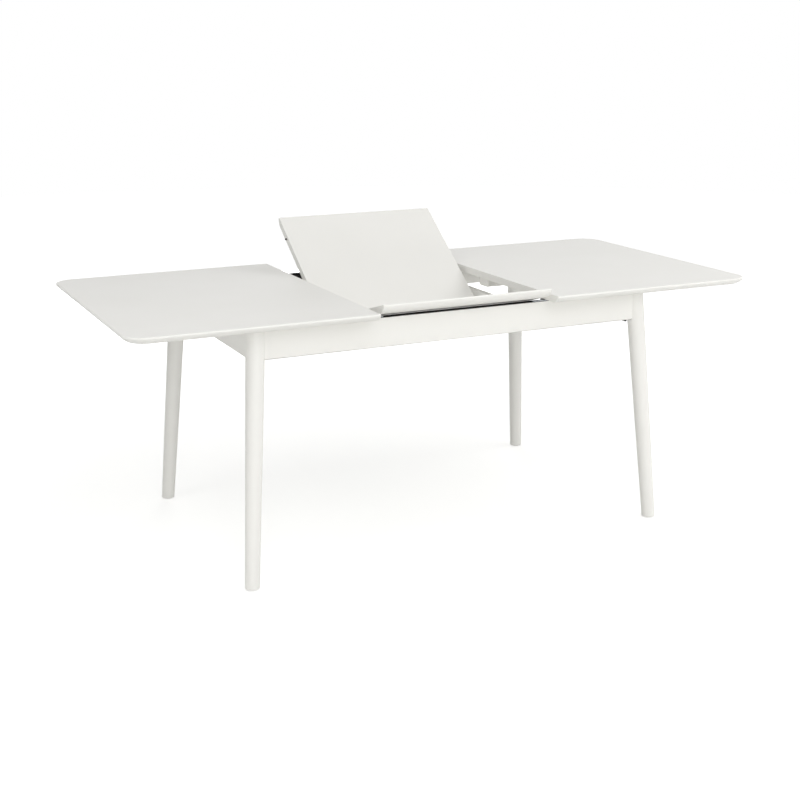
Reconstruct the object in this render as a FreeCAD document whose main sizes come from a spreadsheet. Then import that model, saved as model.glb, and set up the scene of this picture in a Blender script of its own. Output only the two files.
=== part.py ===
# Extending dining table with a butterfly leaf, as a parametric document in millimetres.
# The frame stands on the floor at Z 0, X runs along the table, Y from the front apron to the rear one.
# The two halves of the top are drawn apart and the folding leaf stands half open in the gap between them.
import FreeCAD
import Part
import Sketcher
import math
import os

SIZES = {
    # the whole table
    "table_height": 750.0,
    "table_depth": 913.0,
    "half_length": 703.0,
    "top_thickness": 21.4,
    "corner_radius": 63.0,
    "edge_lip": 5.4,
    "edge_undercut": 28.0,
    "rim_round": 3.0,
    "top_clearance": 5.5,
    # legs and aprons
    "leg_end_inset": 90.5,
    "leg_side_inset": 93.2,
    "leg_end_splay": 52.4,
    "leg_side_splay": 55.8,
    "leg_top_radius": 27.3,
    "leg_foot_radius": 20.5,
    "glide_radius": 14.0,
    "glide_height": 3.0,
    "glide_chamfer": 0.8,
    "apron_height": 84.6,
    "apron_thickness": 20.0,
    "apron_outset": 20.7,
    "apron_round": 3.0,
    # corner brackets and leg bolts
    "bracket_reach": 42.0,
    "bracket_flange": 55.0,
    "bracket_gauge": 3.0,
    "bracket_height": 60.0,
    "bracket_drop": 8.0,
    "bracket_tab": 10.0,
    "bracket_tab_width": 16.0,
    "bracket_tab_step": 8.0,
    "bolt_radius": 4.0,
    "bolt_depth": 30.0,
    "bolt_tail": 16.0,
    "bolt_drop": 45.0,
    "bolt_clearance": 0.5,
    "nut_radius": 7.5,
    "nut_height": 7.0,
    # cross rails, slide ledgers and slide rails
    "cross_rail_gap": 3.0,
    "cross_rail_height": 40.0,
    "cross_rail_thickness": 20.0,
    "rail_end_gap": 36.2,
    "rail_width": 22.0,
    "rail_height": 13.0,
    "rail_gauge": 1.5,
    "rail_drop": 30.0,
    "rail_flange_set_back": 1.0,
    "ledger_height": 22.0,
    # runners and battens under the halves of the top
    "runner_reach": 40.0,
    "runner_step": 7.0,
    "runner_end_gap": 11.2,
    "runner_clearance": 0.3,
    "shoe_width": 10.0,
    "shoe_gauge": 2.0,
    "shoe_tongue": 40.0,
    "batten_width": 58.0,
    "batten_height": 25.0,
    "batten_round": 8.0,
    "batten_set_back": 5.0,
    "batten_end_gap": 13.2,
    # folding leaf
    "leaf_length": 536.0,
    "leaf_gap": 15.0,
    "fold_set_back": 0.15,
    "rear_tilt": 36.0,
    "front_tilt": 16.3,
    "fold_shift": 4.1,
    "leaf_rest_gap": 1.2,
    "pivot_radius": 5.0,
    "pivot_clearance": 0.05,
    "pivot_boss": 11.0,
    "pivot_pin_end": 2.0,
    "pivot_plate_gauge": 3.0,
    "pivot_plate_width": 44.0,
    "arm_inset": 10.0,
    "arm_gauge": 4.0,
    "arm_length": 90.0,
    "arm_width": 34.0,
    "arm_plate_gauge": 3.0,
    "dowel_radius": 3.0,
    "dowel_reach": 6.0,
    "dowel_depth": 20.0,
    "dowel_clearance": 0.5,
    "dowel_chamfer": 0.8,
    "rear_dowel_offset": 366.0,
    "front_dowel_offset": 120.0,
    "hinge_radius": 6.0,
    "hinge_depth": 22.0,
    "barrel_inset": 88.0,
    # every cut passes its piece by this much
    "overrun": 5.0,
}

doc = FreeCAD.newDocument("butterfly_leaf_table")
sheet = doc.addObject("Spreadsheet::Sheet", "sizes")
for row, (alias, number) in enumerate(SIZES.items(), start=1):
    sheet.set(f"A{row}", alias)
    sheet.set(f"B{row}", str(number))
    sheet.setAlias(f"B{row}", alias)
doc.recompute()

# Heights and places that follow from the sheet, as expressions.
UNDERSIDE = "(sizes.table_height - sizes.top_thickness)"
APRON_TOP = f"({UNDERSIDE} - sizes.top_clearance)"
APRON_BOTTOM = f"({APRON_TOP} - sizes.apron_height)"
HALF_DEPTH = "(sizes.table_depth / 2)"
HALF_OPENING = "(sizes.leaf_length / 2 + sizes.leaf_gap)"
LEG_TOP_X = "(sizes.half_length - sizes.leg_end_inset)"
LEG_TOP_Y = f"({HALF_DEPTH} - sizes.leg_side_inset)"
LEG_FOOT_X = f"({LEG_TOP_X} + sizes.leg_end_splay)"
LEG_FOOT_Y = f"({LEG_TOP_Y} + sizes.leg_side_splay)"
APRON_FACE_X = f"({LEG_TOP_X} + sizes.apron_outset)"
APRON_FACE_Y = f"({LEG_TOP_Y} + sizes.apron_outset)"
INNER_X = f"({APRON_FACE_X} - sizes.apron_thickness)"
INNER_Y = f"({APRON_FACE_Y} - sizes.apron_thickness)"
BRACKET_END_X = f"({INNER_X} - sizes.bracket_reach - sizes.bracket_flange)"
RAIL_HALF_LENGTH = f"({BRACKET_END_X} - sizes.rail_end_gap)"
RUNNER_INNER_X = f"({HALF_OPENING} - sizes.runner_reach)"
RUNNER_STEP_X = f"({HALF_OPENING} + sizes.runner_step)"
RUNNER_OUTER_X = f"({BRACKET_END_X} - sizes.runner_end_gap)"
BATTEN_INNER_X = f"({HALF_OPENING} + sizes.batten_set_back)"
BATTEN_OUTER_X = f"({INNER_X} - sizes.batten_end_gap)"
ARM_X = "(sizes.leaf_length / 2 - sizes.arm_inset)"
PIN_END_X = f"({ARM_X} - sizes.pivot_pin_end)"
RAIL_TOP = "(sizes.table_height - sizes.rail_drop)"
RAIL_BOTTOM = f"({RAIL_TOP} - sizes.rail_height)"
RAIL_INNER_Y = f"({INNER_Y} - sizes.rail_width)"
TRACK_WIDTH = "((sizes.rail_width - 3 * sizes.rail_gauge) / 2)"
CROSS_TOP = f"({RAIL_BOTTOM} - sizes.ledger_height - sizes.cross_rail_gap)"
CROSS_BOTTOM = f"({CROSS_TOP} - sizes.cross_rail_height)"
FLANGE_TOP = f"({APRON_TOP} + sizes.rail_gauge)"
BOLT_Z = f"({APRON_TOP} - sizes.bolt_drop)"

# The front leaf half leans just clear of the front rail, which sets how low the fold line hangs. The pivot is
# the one place about which the rear half turns from level, with its fold line in the middle, to that pose.
COS_FRONT = "cos(sizes.front_tilt * 1 deg)"
TAN_FRONT = "tan(sizes.front_tilt * 1 deg)"
TAN_HALF_REAR = "tan(sizes.rear_tilt * 0.5 deg)"
REST_LEVEL = "(sizes.rail_drop - sizes.leaf_rest_gap)"
LEAN_RISE = f"(({RAIL_INNER_Y} - sizes.fold_shift) * {TAN_FRONT})"
FOLD_DROP = f"({REST_LEVEL} - sizes.top_thickness / {COS_FRONT} + {LEAN_RISE})"
FOLD_Z = f"(sizes.table_height - {FOLD_DROP})"
PIVOT_REACH = f"({FOLD_DROP} / (2 * {TAN_HALF_REAR}) - sizes.fold_shift / 2)"
PIVOT_DROP = f"({FOLD_DROP} / 2 + sizes.fold_shift / (2 * {TAN_HALF_REAR}))"
PIVOT_Z = f"(sizes.table_height - {PIVOT_DROP})"

SIDES = {"left": -1, "right": 1}
ENDS = {"front": -1, "rear": 1}
X_AXIS = FreeCAD.Vector(1, 0, 0)
Y_AXIS = FreeCAD.Vector(0, 1, 0)
Z_AXIS = FreeCAD.Vector(0, 0, 1)
parts = []


def value(text):
    """Number that an expression on the sheet gives."""
    return float(sheet.evalExpression(text))


def bind(obj, **expressions):
    """Bind properties to expressions; x, y and z stand for the place."""
    for name, text in expressions.items():
        obj.setExpression(f"Placement.Base.{name}" if name in "xyz" else name, text)
    return obj


def keep(obj, label):
    """Name an object as one finished piece."""
    obj.Label = label
    parts.append(obj)
    return obj


def box(name, x, y, z, length, width, height):
    """Block with its low corner at x, y, z."""
    obj = doc.addObject("Part::Box", name)
    return bind(obj, Length=length, Width=width, Height=height, x=x, y=y, z=z)


def rod(name, radius, length, x, y, z, direction):
    """Cylinder that starts at x, y, z and runs along a direction."""
    obj = doc.addObject("Part::Cylinder", name)
    obj.Placement = FreeCAD.Placement(FreeCAD.Vector(), FreeCAD.Rotation(Z_AXIS, direction))
    return bind(obj, Radius=radius, Height=length, x=x, y=y, z=z)


def hexagon(name, radius, length, x, y, z, direction):
    """Six-sided bar that starts at x, y, z and runs along a direction."""
    obj = doc.addObject("Part::Prism", name)
    obj.Polygon = 6
    obj.Placement = FreeCAD.Placement(FreeCAD.Vector(), FreeCAD.Rotation(Z_AXIS, direction))
    return bind(obj, Circumradius=radius, Height=length, x=x, y=y, z=z)


def cut(name, base, *tools):
    """Base with every tool taken out of it."""
    for number, tool in enumerate(tools):
        result = doc.addObject("Part::Cut", f"{name}_{number}")
        result.Base = base
        result.Tool = tool
        base = result
    return base


def fuse(name, *pieces):
    """One solid out of touching pieces."""
    result = doc.addObject("Part::MultiFuse", name)
    result.Shapes = list(pieces)
    return result


def eased(name, base, radius, wanted, kind="Part::Fillet"):
    """Base with the edges that pass a test rounded or chamfered."""
    doc.recompute()
    result = doc.addObject(kind, name)
    result.Base = base
    size = value(radius)
    result.Edges = [(n, size, size) for n, edge in enumerate(base.Shape.Edges, start=1) if wanted(edge)]
    return result


def lies_along(edge, axis):
    """True for a straight edge along an axis."""
    straight = edge.Curve.TypeId == "Part::GeomLine"
    return straight and abs(edge.Curve.Direction.dot(axis)) > math.cos(math.pi / 180)


def group(name, pieces):
    """Several like solids kept in one node."""
    result = doc.addObject("Part::Compound", name)
    result.Links = list(pieces)
    return result


def new_body(name):
    """Empty body."""
    return doc.addObject("PartDesign::Body", name)


def sketch_on(body, name, plane):
    """Sketch on one of the body's own origin planes."""
    sketch = body.newObject("Sketcher::SketchObject", name)
    origin = next(item for item in body.Origin.OriginFeatures if item.Role == plane)
    sketch.AttachmentSupport = [(origin, "")]
    sketch.MapMode = "FlatFace"
    return sketch


def outline(sketch, points, arcs=()):
    """Closed outline through points given as expressions. A side in arcs is a round that meets the
    next corner level: its centre stands straight above or below that corner."""
    places = [(value(u), value(v)) for u, v in points]
    count = len(places)
    for i, (u, v) in enumerate(places):
        next_u, next_v = places[(i + 1) % count]
        if i in arcs:
            rise = v - next_v
            radius = ((u - next_u) ** 2 + rise ** 2) / (2 * rise)
            centre = FreeCAD.Vector(next_u, next_v + radius, 0)
            begin = math.atan2(v - centre.y, u - centre.x)
            end = math.atan2(next_v - centre.y, next_u - centre.x)
            first, last = (begin, end) if u < next_u else (end, begin)
            circle = Part.Circle(centre, Z_AXIS, radius)
            sketch.addGeometry(Part.ArcOfCircle(circle, first, last))
        else:
            sketch.addGeometry(Part.LineSegment(FreeCAD.Vector(u, v, 0), FreeCAD.Vector(next_u, next_v, 0)))

    def ends_of(i):
        flipped = i in arcs and places[i][0] > places[(i + 1) % count][0]
        return (2, 1) if flipped else (1, 2)

    for i in range(count):
        after = (i + 1) % count
        sketch.addConstraint(Sketcher.Constraint("Coincident", i, ends_of(i)[1], after, ends_of(after)[0]))
    for i in arcs:
        sketch.addConstraint(Sketcher.Constraint("Vertical", i, 3, i, ends_of(i)[1]))
    for i, (u, v) in enumerate(points):
        for kind, text, number in (("DistanceX", u, places[i][0]), ("DistanceY", v, places[i][1])):
            start = ends_of(i)[0]
            index = sketch.addConstraint(Sketcher.Constraint(kind, -1, 1, i, start, number))
            sketch.setExpression(f"Constraints[{index}]", text)
    return sketch


def pad(body, name, sketch, length, middle=False):
    """Pad of a sketch, to one side or to both alike."""
    feature = body.newObject("PartDesign::Pad", name)
    feature.Profile = sketch
    feature.SideType = "Symmetric" if middle else "One side"
    feature.setExpression("Length", length)
    body.Tip = feature
    return feature


def signed(sign, text):
    """Expression on the left or front as minus, on the right or rear as plus."""
    return f"({sign} * {text})"


def low_side(sign, near, thickness):
    """Low coordinate of a slab that lies outward of a place, on either side of the middle."""
    return near if sign > 0 else f"(-({near}) - {thickness})"


# Legs: round, tapering to the foot and splayed out both ways, cut level at the glide and at the top.
def leg(side, end):
    sx, sy = SIDES[side], ENDS[end]
    name = f"leg_{end}_{side}"
    run = [signed(-sx, "sizes.leg_end_splay"), signed(-sy, "sizes.leg_side_splay"),
           f"({APRON_TOP} - sizes.glide_height)"]
    axis = FreeCAD.Vector(*[value(text) for text in run])
    length = "sqrt(" + " + ".join(f"{text} ^ 2" for text in run) + ")"
    past = f"(sizes.overrun / {length})"
    gain = f"((sizes.leg_top_radius - sizes.leg_foot_radius) * {past})"
    taper = doc.addObject("Part::Cone", f"{name}_taper")
    taper.Placement = FreeCAD.Placement(FreeCAD.Vector(), FreeCAD.Rotation(Z_AXIS, axis))
    bind(taper, Radius1=f"sizes.leg_foot_radius - {gain}", Radius2=f"sizes.leg_top_radius + {gain}",
         Height=f"{length} + 2 * sizes.overrun",
         x=f"{sx} * {LEG_FOOT_X} - {run[0]} * {past}",
         y=f"{sy} * {LEG_FOOT_Y} - {run[1]} * {past}",
         z=f"sizes.glide_height - {run[2]} * {past}")
    reach = f"({LEG_FOOT_X} + {LEG_FOOT_Y})"
    slice_between = box(f"{name}_levels", signed(-1, reach), signed(-1, reach), "sizes.glide_height",
                        f"(2 * {reach})", f"(2 * {reach})", run[2])
    level = doc.addObject("Part::Common", f"{name}_level")
    level.Base = taper
    level.Tool = slice_between
    return level


def leg_bolt_axis(side, end):
    """Where a leg's axis stands at the height of its bolt, and the way into the table from there."""
    sx, sy = SIDES[side], ENDS[end]
    share = f"(({APRON_TOP} - {BOLT_Z}) / ({APRON_TOP} - sizes.glide_height))"
    x = f"({LEG_TOP_X} + sizes.leg_end_splay * {share})"
    y = f"({LEG_TOP_Y} + sizes.leg_side_splay * {share})"
    return signed(sx, x), signed(sy, y), FreeCAD.Vector(-sx, -sy, 0)


def along(place, direction, distance):
    """Expressions of a point that lies a distance from a place, level, along a diagonal."""
    return [f"({start} + {step} * {distance} / sqrt(2))" for start, step in zip(place, direction)]


# Corner brackets: a steel strip bent across each corner, with a lug by the leg that shows below the apron.
def corner_bracket(side, end):
    sx, sy = SIDES[side], ENDS[end]
    name = f"bent_bracket_{end}_{side}"
    body = new_body(name)

    def corner(x, y):
        return signed(sx, f"({INNER_X} - {x})"), signed(sy, f"({INNER_Y} - {y})")

    def beside_leg(across, outward):
        slip = f"({across} / sqrt(2))"
        step = f"({outward} / sqrt(2))"
        return corner(f"({reach} / 2 + {slip} - {step})", f"({reach} / 2 - {slip} - {step})")

    bend = "sizes.bracket_gauge * (sqrt(2) - 1)"
    reach, flange, gauge = "sizes.bracket_reach", "sizes.bracket_flange", "sizes.bracket_gauge"
    strip = [
        corner(f"({reach} + {flange})", "0"), corner(f"({reach} + {flange})", gauge),
        corner(f"({reach} + {bend})", gauge), corner(gauge, f"({reach} + {bend})"),
        corner(gauge, f"({reach} + {flange})"), corner("0", f"({reach} + {flange})"),
        corner("0", reach), corner(reach, "0"),
    ]
    half_tab, back = "sizes.bracket_tab_width / 2", f"-{gauge}"
    tab = [
        beside_leg(half_tab, back), beside_leg(f"-{half_tab}", back),
        beside_leg(f"-{half_tab}", "sizes.bracket_tab_step"), beside_leg(half_tab, "sizes.bracket_tab_step"),
    ]
    plan = outline(sketch_on(body, f"{name}_plan", "XY_Plane"), strip)
    pad(body, f"{name}_strip", plan, "sizes.bracket_height")
    lower = pad(
        body, f"{name}_tab", outline(sketch_on(body, f"{name}_tab_plan", "XY_Plane"), tab),
        "(sizes.apron_height - sizes.bracket_drop - sizes.bracket_height + sizes.bracket_tab)",
    )
    lower.Reversed = True
    bind(body, z=f"({APRON_TOP} - sizes.bracket_drop - sizes.bracket_height)")
    return body


# Slide rails: a twin track of folded steel behind each long apron, open at the top, whose outer wall
# is bent over the apron as a flange.
def slide_rail(end):
    sign = ENDS[end]
    body = new_body(f"{end}_slide_rail")
    wall, height = "sizes.rail_gauge", "sizes.rail_height"
    across = ["0", wall, f"({wall} + {TRACK_WIDTH})", f"(2 * {wall} + {TRACK_WIDTH})",
              f"(sizes.rail_width - {wall})", "sizes.rail_width"]
    on_apron = f"({APRON_TOP} - {RAIL_BOTTOM})"
    lip = "(sizes.rail_width + sizes.apron_thickness - sizes.rail_flange_set_back)"
    section = [(across[0], "0"), (across[0], height), (across[1], height), (across[1], wall),
               (across[2], wall), (across[2], height), (across[3], height), (across[3], wall),
               (across[4], wall), (across[4], f"({on_apron} + {wall})"), (lip, f"({on_apron} + {wall})"),
               (lip, on_apron), (across[5], on_apron), (across[5], "0")]
    points = [(signed(sign, f"({RAIL_INNER_Y} + {u})"), v) for u, v in section]
    pad(body, f"{end}_rail_length", outline(sketch_on(body, f"{end}_rail_section", "YZ_Plane"), points),
        f"(2 * {RAIL_HALF_LENGTH})", middle=True)
    return bind(body, z=RAIL_BOTTOM)


def edge_names(feature, wanted):
    """Names of the edges of a feature that pass a test."""
    return [f"Edge{n}" for n, edge in enumerate(feature.Shape.Edges, start=1) if wanted(edge)]


def fillet(body, name, base, radius, wanted):
    """Rounding of some edges of a body's last feature."""
    feature = body.newObject("PartDesign::Fillet", name)
    feature.Base = (base, edge_names(base, wanted))
    feature.setExpression("Radius", radius)
    body.Tip = feature
    doc.recompute()
    return feature


def on_rim(edge, level):
    """True for the outer edges of a slab's upper face; its inner edge lies at X 0."""
    away = edge.BoundBox.XLength + abs(edge.CenterOfMass.x)
    return edge.BoundBox.ZMin > level and away > value("sizes.overrun")


# Halves of the top: a slab with two rounded corners, undercut along its three outer edges.
def top_half(side):
    sign = SIDES[side]
    body = new_body(f"{side}_slab")
    far = signed(sign, "sizes.half_length")
    plan = [("0", f"-{HALF_DEPTH}"), (far, f"-{HALF_DEPTH}"), (far, HALF_DEPTH), ("0", HALF_DEPTH)]
    slab = pad(body, f"{side}_slab_pad", outline(sketch_on(body, f"{side}_slab_plan", "XY_Plane"), plan),
               "sizes.top_thickness")
    doc.recompute()
    half_way = value("sizes.half_length / 2")
    level = value("sizes.top_thickness - sizes.edge_lip / 2")
    corners = fillet(body, f"{side}_slab_corners", slab, "sizes.corner_radius",
                     lambda edge: lies_along(edge, Z_AXIS) and abs(edge.CenterOfMass.x) > half_way)
    rim = edge_names(corners, lambda edge: on_rim(edge, level))
    out = f"(-{HALF_DEPTH} - sizes.overrun)"
    lip = "(sizes.top_thickness - sizes.edge_lip)"
    section = [
        (f"-{HALF_DEPTH}", lip), (f"(sizes.edge_undercut - {HALF_DEPTH})", "0"),
        (f"(sizes.edge_undercut - {HALF_DEPTH})", "-sizes.overrun"), (out, "-sizes.overrun"), (out, lip),
    ]
    undercut = body.newObject("PartDesign::SubtractivePipe", f"{side}_slab_undercut")
    undercut.Profile = outline(sketch_on(body, f"{side}_slab_edge", "YZ_Plane"), section, arcs=(0,))
    undercut.Spine = (corners, rim)
    body.Tip = undercut
    doc.recompute()
    fillet(body, f"{side}_slab_rim", undercut, "sizes.rim_round", lambda edge: on_rim(edge, level))
    bind(body, x=signed(sign, HALF_OPENING), z=UNDERSIDE)
    return body


def dowel_sockets(top):
    """Left half of the top with the holes that take the leaf's dowels."""
    sockets = [
        rod(f"dowel_socket_{end}", "(sizes.dowel_radius + sizes.dowel_clearance)",
            "(sizes.dowel_reach + sizes.overrun)", f"-{HALF_OPENING}",
            signed(sign, f"sizes.{end}_dowel_offset"), "(sizes.table_height - sizes.top_thickness / 2)",
            FreeCAD.Vector(SIDES["left"], 0, 0))
        for end, sign in ENDS.items()
    ]
    return cut("left_top_drilled", top, *sockets)


# Runners: a steel bar in one track of a rail, with a tall stretch that is screwed under the top, and at its
# inner end a shoe that slides on the rail's flange, held to the tall stretch by a tongue.
def runner(side, end):
    sx, sy = SIDES[side], ENDS[end]
    name = f"{side}_runner_{end}"
    body = new_body(f"{name}_steel")
    low = f"({RAIL_BOTTOM} + sizes.rail_gauge + sizes.runner_clearance)"
    points = [
        (signed(sx, RUNNER_INNER_X), low), (signed(sx, RUNNER_OUTER_X), low),
        (signed(sx, RUNNER_OUTER_X), UNDERSIDE), (signed(sx, RUNNER_STEP_X), UNDERSIDE),
        (signed(sx, RUNNER_STEP_X), RAIL_TOP), (signed(sx, RUNNER_INNER_X), RAIL_TOP),
    ]
    pad(body, f"{name}_bar", outline(sketch_on(body, f"{name}_side", "XZ_Plane"), points),
        f"({TRACK_WIDTH} - 2 * sizes.runner_clearance)", middle=True)
    outer_track = sx * sy > 0
    walls = "(sizes.rail_width - sizes.rail_gauge)" if outer_track else "sizes.rail_gauge"
    shift = f"(-{TRACK_WIDTH} / 2)" if outer_track else f"({TRACK_WIDTH} / 2)"
    bar_y = f"({RAIL_INNER_Y} + {walls} + {shift})"
    bind(body, y=signed(sy, bar_y))
    shoe_z = f"({FLANGE_TOP} + sizes.runner_clearance)"
    flange_end = f"({APRON_FACE_Y} - sizes.rail_flange_set_back)"
    shoe_y = f"({flange_end} - sizes.shoe_width)"
    tongue_end = f"({RUNNER_STEP_X} + sizes.shoe_tongue)"
    shoe_length = f"({tongue_end} - {RUNNER_INNER_X})"
    tongue_width = f"({flange_end} - {bar_y})"
    shoe = box(f"{name}_shoe", low_side(sx, RUNNER_INNER_X, shoe_length),
               low_side(sy, shoe_y, "sizes.shoe_width"), shoe_z,
               shoe_length, "sizes.shoe_width", "sizes.shoe_gauge")
    tongue = box(f"{name}_tongue", low_side(sx, RUNNER_STEP_X, "sizes.shoe_tongue"),
                 low_side(sy, bar_y, tongue_width), shoe_z,
                 "sizes.shoe_tongue", tongue_width, "sizes.shoe_gauge")
    return fuse(f"{name}_with_shoe", body, shoe, tongue)


# Centre battens: a strip under each half of the top, rounded along its lower edges.
def centre_batten(side):
    sign = SIDES[side]
    name = f"{side}_batten"
    length = f"({BATTEN_OUTER_X} - {BATTEN_INNER_X})"
    strip = box(f"{name}_strip", low_side(sign, BATTEN_INNER_X, length), "-sizes.batten_width / 2",
                f"({UNDERSIDE} - sizes.batten_height)", length, "sizes.batten_width", "sizes.batten_height")
    middle = value(f"{UNDERSIDE} - sizes.batten_height / 2")
    return eased(f"{name}_rounded", strip, "sizes.batten_round",
                 lambda edge: lies_along(edge, X_AXIS) and edge.CenterOfMass.z < middle)


# Leaf halves: drawn flat with the fold line at the origin, top face at Z 0, then tilted into the pose.
def leaf_half(end):
    sign = ENDS[end]
    name = f"leaf_{end}"
    body = new_body(f"{name}_panel")
    points = [
        (signed(sign, "sizes.fold_set_back"), "0"),
        (signed(sign, "sizes.fold_set_back"), "-sizes.top_thickness"),
        (signed(sign, f"({HALF_DEPTH} - sizes.edge_undercut)"), "-sizes.top_thickness"),
        (signed(sign, HALF_DEPTH), "-sizes.edge_lip"), (signed(sign, HALF_DEPTH), "0"),
    ]
    rolled = list(reversed(points))
    sketch = outline(sketch_on(body, f"{name}_section", "YZ_Plane"), rolled, arcs=(1,))
    panel = pad(body, f"{name}_width", sketch, "sizes.leaf_length", middle=True)
    doc.recompute()
    past = value(f"{HALF_DEPTH} - sizes.edge_lip")
    level = -value("sizes.edge_lip / 2")
    fillet(body, f"{name}_rim", panel, "sizes.rim_round",
           lambda edge: lies_along(edge, X_AXIS) and abs(edge.CenterOfMass.y) > past
           and edge.CenterOfMass.z > level)
    middle = "-sizes.top_thickness / 2"
    dowel, dowel_hole = [
        rod(f"{name}_{kind}", "sizes.dowel_radius", "(sizes.dowel_depth + sizes.dowel_reach)",
            "(sizes.dowel_depth - sizes.leaf_length / 2)", signed(sign, f"sizes.{end}_dowel_offset"), middle,
            FreeCAD.Vector(SIDES["left"], 0, 0))
        for kind in ("dowel", "dowel_hole")
    ]
    leaf_end = -value("sizes.leaf_length / 2")
    tipped = eased(f"{name}_dowel_tip", dowel, "sizes.dowel_chamfer",
                   lambda edge: edge.BoundBox.XMax < leaf_end, kind="Part::Chamfer")
    hinges, hinge_holes = [], []
    for side, sx in SIDES.items():
        for made, kind in ((hinges, "hinge"), (hinge_holes, "hinge_hole")):
            made.append(rod(f"{name}_{kind}_{side}", "sizes.hinge_radius", "sizes.hinge_depth",
                            signed(sx, "(sizes.leaf_length / 2 - sizes.barrel_inset)"),
                            signed(sign, "sizes.fold_set_back"), middle, FreeCAD.Vector(0, sign, 0)))
    panel = cut(f"{name}_drilled", body, dowel_hole, *hinge_holes)
    return panel, tipped, group(f"{name}_hinge_pair", hinges)


def pivot_arm(side):
    """Steel lug under the rear leaf half, with an ear that turns on the pivot pin."""
    sx = SIDES[side]
    name = f"pivot_arm_{side}"
    ear_x = low_side(sx, ARM_X, "sizes.arm_gauge")
    plate_x = low_side(sx, f"({ARM_X} + sizes.arm_gauge - sizes.arm_width)", "sizes.arm_width")
    low = "(-sizes.top_thickness - sizes.arm_plate_gauge)"
    plate = box(f"{name}_plate", plate_x, f"({PIVOT_REACH} - sizes.arm_length / 2)", low,
                "sizes.arm_width", "sizes.arm_length", "sizes.arm_plate_gauge")
    ear = box(f"{name}_ear", ear_x, f"({PIVOT_REACH} - sizes.pivot_boss)", f"-{PIVOT_DROP}",
              "sizes.arm_gauge", "(2 * sizes.pivot_boss)", f"({PIVOT_DROP} - sizes.top_thickness)")
    boss = rod(f"{name}_boss", "sizes.pivot_boss", "sizes.arm_gauge", ear_x, PIVOT_REACH, f"-{PIVOT_DROP}",
               X_AXIS)
    hole = rod(f"{name}_hole", "(sizes.pivot_radius + sizes.pivot_clearance)",
               "(sizes.arm_gauge + 2 * sizes.overrun)", f"({ear_x} - sizes.overrun)", PIVOT_REACH,
               f"-{PIVOT_DROP}", X_AXIS)
    return cut(f"{name}_drilled", fuse(f"{name}_body", plate, ear, boss), hole)


def pivot_plate(side):
    """Upright plate on the cross rail, rounded about the pivot pin that it holds."""
    sx = SIDES[side]
    name = f"pivot_plate_{side}"
    face = low_side(sx, f"({HALF_OPENING} - sizes.pivot_plate_gauge)", "sizes.pivot_plate_gauge")
    blade = box(f"{name}_blade", face, f"({PIVOT_REACH} - sizes.pivot_plate_width / 2)", CROSS_BOTTOM,
                "sizes.pivot_plate_gauge", "sizes.pivot_plate_width", "sizes.cross_rail_height")
    neck = box(f"{name}_neck", face, f"({PIVOT_REACH} - sizes.pivot_boss)", CROSS_BOTTOM,
               "sizes.pivot_plate_gauge", "(2 * sizes.pivot_boss)", f"({PIVOT_Z} - {CROSS_BOTTOM})")
    boss = rod(f"{name}_boss", "sizes.pivot_boss", "sizes.pivot_plate_gauge", face, PIVOT_REACH, PIVOT_Z,
               X_AXIS)
    hole = rod(f"{name}_hole", "sizes.pivot_radius", "(sizes.pivot_plate_gauge + 2 * sizes.overrun)",
               f"({face} - sizes.overrun)", PIVOT_REACH, PIVOT_Z, X_AXIS)
    return cut(f"{name}_drilled", fuse(f"{name}_body", blade, neck, boss), hole)


def set_in_pose(obj, label, end):
    """Leaf piece drawn flat, carried to the fold line and tilted about it as the photograph shows."""
    tilt = f"sizes.{end}_tilt"
    axis = FreeCAD.Vector(ENDS[end], 0, 0)
    obj.Placement = FreeCAD.Placement(FreeCAD.Vector(), FreeCAD.Rotation(axis, value(tilt)))
    obj.setExpression("Placement.Rotation.Angle", f"{tilt} * 1 deg")
    bind(obj, y="-sizes.fold_shift", z=FOLD_Z)
    return keep(obj, label)


# Frame: legs, aprons coped to the legs, brackets, bolts and glides.
legs = {(side, end): leg(side, end) for side in SIDES for end in ENDS}
bolts, nuts = [], []
for (side, end), taper in legs.items():
    corner = f"{end}_{side}"
    x, y, inward = leg_bolt_axis(side, end)
    sx, sy = SIDES[side], ENDS[end]
    corner_reach = f"({INNER_X} + {INNER_Y} - sizes.bracket_reach)"
    plate_gap = f"(({sx} * {x} + {sy} * {y} - {corner_reach}) / sqrt(2))"
    start = along((x, y), (sx, sy), "(sizes.bolt_depth - sizes.leg_top_radius)")
    length = f"(sizes.bolt_depth - sizes.leg_top_radius + {plate_gap} + sizes.bolt_tail)"
    seat = along((x, y), (-sx, -sy), f"({plate_gap} + sizes.bracket_gauge)")
    bolts.append(rod(f"leg_bolt_{corner}", "sizes.bolt_radius", length, *start, BOLT_Z, inward))
    bore = rod(f"leg_bore_{corner}", "sizes.bolt_radius", length, *start, BOLT_Z, inward)
    keep(cut(f"leg_drilled_{corner}", taper, bore), f"leg_{corner}")
    blank = hexagon(f"leg_nut_blank_{corner}", "sizes.nut_radius", "sizes.nut_height", *seat, BOLT_Z, inward)
    thread = rod(f"leg_nut_bore_{corner}", "sizes.bolt_radius", length, *start, BOLT_Z, inward)
    nuts.append(cut(f"leg_nut_{corner}", blank, thread))
    slot = rod(f"bracket_bore_{corner}", "(sizes.bolt_radius + sizes.bolt_clearance)", length, *start, BOLT_Z,
               inward)
    keep(cut(f"corner_bracket_drilled_{corner}", corner_bracket(side, end), slot), f"corner_bracket_{corner}")
    glide = rod(f"glide_{corner}", "sizes.glide_radius", "sizes.glide_height",
                signed(sx, LEG_FOOT_X), signed(sy, LEG_FOOT_Y), "0", Z_AXIS)
    sole = eased(f"glide_sole_{corner}", glide, "sizes.glide_chamfer",
                 lambda edge: edge.BoundBox.ZMax < value("sizes.glide_height / 2"), kind="Part::Chamfer")
    keep(sole, f"foot_glide_{corner}")
keep(group("leg_bolt_set", bolts), "leg_bolts")
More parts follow.
